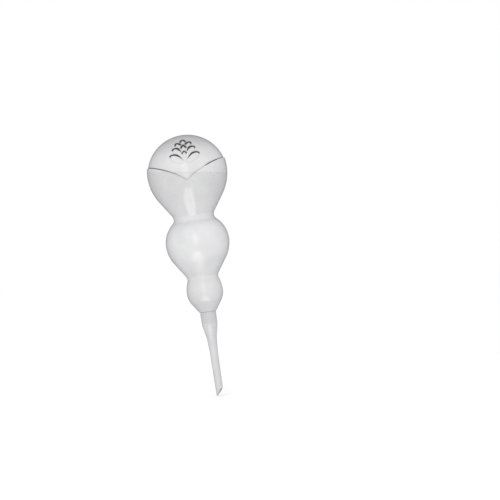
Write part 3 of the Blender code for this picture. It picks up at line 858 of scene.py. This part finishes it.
def bulb_wall(tree, place, base, passes):
    """The bulb's colour with its painted shades, its clearness, how much rougher it is, and which
    of its faces have no clear coat."""
    crease_shade, inside = attribute(tree, "crease_shade"), attribute(tree, "inside")
    x, _, z = node(tree, "ShaderNodeSeparateXYZ", {"Vector": place}).outputs
    # Painted shade darkens the top of the crown, and the lower lobe, fading out upwards.
    foot = ramp(tree, z, 0.0, FOOT_REACH, FOOT_SHADE, 0.0)
    crown = ramp(tree, z, CROWN_HEIGHT - CROWN_REACH, CROWN_HEIGHT, 0.0, CROWN_SHADE)
    # Painted shade darkens it below the water level, most near the surface, and a little above the
    # level. Wet, it is also a little clearer.
    level = maths(tree, "ADD", z, maths(tree, "MULTIPLY", x, tan(LEAN)))
    surface = (WATER_LEVEL - WET_EDGE, WATER_LEVEL + WET_EDGE)
    near = ramp(tree, level, WATER_LEVEL - WET_REACH, WATER_LEVEL, WET_DEEP, 1.0)
    wet = maths(tree, "MULTIPLY", ramp(tree, level, *surface, 1.0, 0.0), near)
    shade_above_water = ramp(tree, level, *surface, 0.0, ABOVE_WATER_SHADE)
    # Small air bubbles cling to the wet wall here and there.
    distance, colour = cells(tree, place, BUBBLE_SCALE)
    red = node(tree, "ShaderNodeSeparateColor", {"Color": colour}).outputs["Red"]
    chosen = ramp(tree, red, *BUBBLE_CHOICE, 0.0, BUBBLE_SHADE)
    bubbles = maths(tree, "MULTIPLY", ramp(tree, distance, *BUBBLE_SIZE, 1.0, 0.0), chosen)
    bubbles = maths(tree, "MULTIPLY", bubbles, wet)
    for shade in (foot, bubbles, crown, maths(tree, "MULTIPLY", wet, WET_SHADE), shade_above_water):
        base = blend_colour(tree, shade, base, BLACK)
    # Painted shade in the grooves and along the rims; the wall is also less clear there.
    base = blend_colour(tree, crease_shade, base, CREASE_SHADE_COLOUR)
    base = blend_colour(tree, inside, base, INSIDE_COLOUR)
    passes = maths(tree, "ADD", passes, maths(tree, "MULTIPLY", wet, WET_CLEARER))
    passes = maths(tree, "MULTIPLY", passes, maths(tree, "SUBTRACT", 1.0, crease_shade))
    passes = maths(tree, "MAXIMUM", passes, inside)
    # The two lower lobes are less glossy than the top lobe.
    rougher = ramp(tree, z, *SATIN_HEIGHTS, SATIN_ROUGHER, 0.0)
    return base, passes, rougher, inside


def spike_wall(tree, place, base, passes):
    """The same of the spike."""
    z = node(tree, "ShaderNodeSeparateXYZ", {"Vector": place}).outputs["Z"]
    # Painted shade darkens the socket, where the neck sits inside it.
    painted_socket_shade = ramp(tree, z, SOCKET_FOOT, SOCKET_SHADED_FROM, 0.0, SOCKET_SHADE)
    return blend_colour(tree, painted_socket_shade, base, BLACK), passes, 0.0, attribute(tree, "cut")


def plastic(name, wall, colour, dark, roughness, transmission):
    """Milky moulded plastic: cloudy, softly rippled, with fine specks and a satin gloss.
    Its tinted clear coat darkens it towards its outline."""
    item, tree, shader = new_material(name)
    place = object_place(tree)
    cloud = noise(tree, place, *CLOUD_NOISE)
    clouds = ramp(tree, cloud, *NOISE_RANGE, 0.0, CLOUD_SHADE)
    distance, _ = cells(tree, place, SPECK_SCALE)
    specks = ramp(tree, distance, *SPECK_SIZE, SPECK_SHADE, 0.0)
    base = blend_colour(tree, maths(tree, "MAXIMUM", clouds, specks), colour, dark)
    clearest, haziest = transmission + CLOUD_CLEARER, transmission - CLOUD_CLEARER
    passes = ramp(tree, cloud, *NOISE_RANGE, clearest, haziest)
    base, passes, rougher, bare = wall(tree, place, base, passes)
    grain = noise(tree, place, *GRAIN_NOISE)
    finest, coarsest = roughness - GRAIN_ROUGHER, roughness + GRAIN_ROUGHER
    rough = ramp(tree, grain, *NOISE_RANGE, finest, coarsest)
    ripple = noise(tree, place, *RIPPLE_NOISE)
    height = maths(tree, "ADD", ripple, maths(tree, "MULTIPLY", grain, GRAIN_HEIGHT))
    feed(tree, shader, {
        "Base Color": base,
        "Transmission Weight": passes,
        "Roughness": maths(tree, "ADD", rough, rougher),
        "Normal": bump(tree, height, *RIPPLE_BUMP),
        "IOR": PLASTIC_IOR,
        "Coat Weight": maths(tree, "SUBTRACT", 1.0, bare),
        "Coat Roughness": COAT_ROUGHNESS,
        "Coat IOR": COAT_IOR,
        "Coat Tint": COAT_TINT,
    })
    return item


def water_material():
    """Clear water with a faint haze."""
    item, tree, shader = new_material("still_water")
    haze = noise(tree, object_place(tree), *HAZE_NOISE)
    shade = ramp(tree, haze, *NOISE_RANGE, 0, 1)
    feed(tree, shader, {
        "Base Color": blend_colour(tree, shade, *WATER_COLOURS),
        "Roughness": ramp(tree, haze, *NOISE_RANGE, *WATER_ROUGHNESS),
        "Transmission Weight": 1.0,
        "IOR": WATER_IOR,
    })
    return item


def silicone_material():
    """Matt grey silicone with a fine dust."""
    item, tree, shader = new_material("soft_silicone")
    dust = noise(tree, object_place(tree), *DUST_NOISE)
    shade = ramp(tree, dust, *DUST_RANGE, 0, 1)
    feed(tree, shader, {
        "Base Color": blend_colour(tree, shade, *SILICONE_COLOURS),
        "Roughness": ramp(tree, dust, *NOISE_RANGE, *SILICONE_ROUGHNESS),
        "Normal": bump(tree, dust, *DUST_BUMP),
    })
    return item


# Pieces.

globe = globe_shell()
globe.data.materials.append(plastic(
    "milky_bulb",
    bulb_wall,
    colour=(0.99, 0.99, 0.993),
    dark=(0.96, 0.96, 0.968),
    roughness=0.11,
    transmission=0.12,
))
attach(globe, "globe")
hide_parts("globe_body")

spike = spike_shell()
spike.data.materials.append(plastic(
    "milky_spike",
    spike_wall,
    colour=(0.87, 0.87, 0.88),
    dark=(0.82, 0.82, 0.83),
    roughness=0.2,
    transmission=0.15,
))
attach(spike, "spike")
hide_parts("spike")

water = water_body()
water.data.materials.append(water_material())
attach(water, "globe")

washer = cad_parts["seal_washer"]
for slot in washer.material_slots:
    slot.material = silicone_material()

# Floor and background.

WORLD_LIGHT = 1.0
FLOOR_SIZE = 6.0
FLOOR_GAP = 0.3 * MM
FLOOR_COLOUR = 0.85
FLOOR_VARIES = 0.01


def seen_directly(tree):
    """1 for rays that show the background: to the camera, in a gloss and through glass."""
    path = node(tree, "ShaderNodeLightPath").outputs
    seen = maths(tree, "ADD", path["Is Camera Ray"], path["Is Glossy Ray"])
    return maths(tree, "MINIMUM", maths(tree, "ADD", seen, path["Is Transmission Ray"]), 1.0)


def floor_material():
    """A pale floor with a glow that lifts it to the background's white and leaves its shadow."""
    item = bpy.data.materials.new("pale_floor")
    tree = emptied(item)
    low, high = FLOOR_COLOUR - FLOOR_VARIES, FLOOR_COLOUR + FLOOR_VARIES
    tint = noise(tree, object_place(tree), *FLOOR_NOISE)
    tint = blend_colour(tree, tint, (low, low, low), (high, high, high))
    matt = node(tree, "ShaderNodeBsdfDiffuse", {"Color": tint})
    lift = maths(tree, "MULTIPLY", seen_directly(tree), 1.0 - WORLD_LIGHT * FLOOR_COLOUR)
    glow = node(tree, "ShaderNodeEmission", {"Color": WHITE, "Strength": lift})
    both = node(tree, "ShaderNodeAddShader", {0: matt.outputs[0], 1: glow.outputs[0]})
    node(tree, "ShaderNodeOutputMaterial", {"Surface": both.outputs[0]})
    return item


corners = [(-1, -1), (1, -1), (1, 1), (-1, 1)]
floor = mesh_object(
    "floor", [(x * FLOOR_SIZE, y * FLOOR_SIZE, 0) for x, y in corners], [(0, 1, 2, 3)]
)
floor.location.z = TIP_HEIGHT - FLOOR_GAP
floor.data.materials.append(floor_material())

world = bpy.data.worlds.new("studio")
bpy.context.scene.world = world
tree = emptied(world)
soft = node(tree, "ShaderNodeBackground", {"Color": WHITE, "Strength": WORLD_LIGHT})
shown = node(tree, "ShaderNodeBackground", {"Color": WHITE, "Strength": 1.0})
mix = node(
    tree,
    "ShaderNodeMixShader",
    {0: seen_directly(tree), 1: soft.outputs[0], 2: shown.outputs[0]},
)
node(tree, "ShaderNodeOutputWorld", {"Surface": mix.outputs[0]})

# Lamps: a place and the point it shines at, the size in metres and the power in watts.

Lamp = namedtuple("Lamp", "name place target size power")
KEY = Lamp("key", (-0.1, -1.42, 0.3), (0, 0, 0.07), (0.45, 1.3), 4.2)
# It shows only in the gloss, and draws the light streak on the top lobe's cone.
LOW_STRIP = Lamp("low_strip", (-0.016, -0.165, -0.08), (-0.016, -0.165, 0.5), (0.11, 0.19), 0.22)


def area_light(lamp):
    data = bpy.data.lights.new(lamp.name, "AREA")
    data.shape = "RECTANGLE"
    data.size, data.size_y = lamp.size
    data.energy = lamp.power
    light = bpy.data.objects.new(lamp.name, data)
    bpy.context.scene.collection.objects.link(light)
    light.location = lamp.place
    aim = Vector(lamp.target) - Vector(lamp.place)
    light.rotation_mode = "QUATERNION"
    light.rotation_quaternion = aim.to_track_quat("-Z", "Y")
    return light


area_light(KEY)
strip = area_light(LOW_STRIP)
strip.visible_camera = False
strip.visible_diffuse = False
strip.visible_transmission = False

# Camera. It rolls by the lean, so that the upright globe leans in the picture.

CAMERA_DISTANCE = 2.0
CAMERA_ELEVATION = radians(1.0)
CAMERA_AIM = Vector((0.05073, 0, 0.05464))
FRAME_WIDTH = 0.5
SENSOR_WIDTH = 36.0  # in mm, as Blender has it
data = bpy.data.cameras.new("camera")
data.sensor_width = SENSOR_WIDTH
data.lens = SENSOR_WIDTH * CAMERA_DISTANCE / FRAME_WIDTH
data.clip_start, data.clip_end = 0.05, 50.0
camera = bpy.data.objects.new("camera", data)
bpy.context.scene.collection.objects.link(camera)
back = Vector((0, -cos(CAMERA_ELEVATION), sin(CAMERA_ELEVATION)))
turn = (-back).to_track_quat("-Z", "Y").to_matrix().to_4x4()
camera.matrix_world = (
    Matrix.Translation(CAMERA_AIM + back * CAMERA_DISTANCE) @ turn @ Matrix.Rotation(-LEAN, 4, "Z")
)
bpy.context.scene.camera = camera
bpy.context.scene.view_settings.view_transform = "Standard"
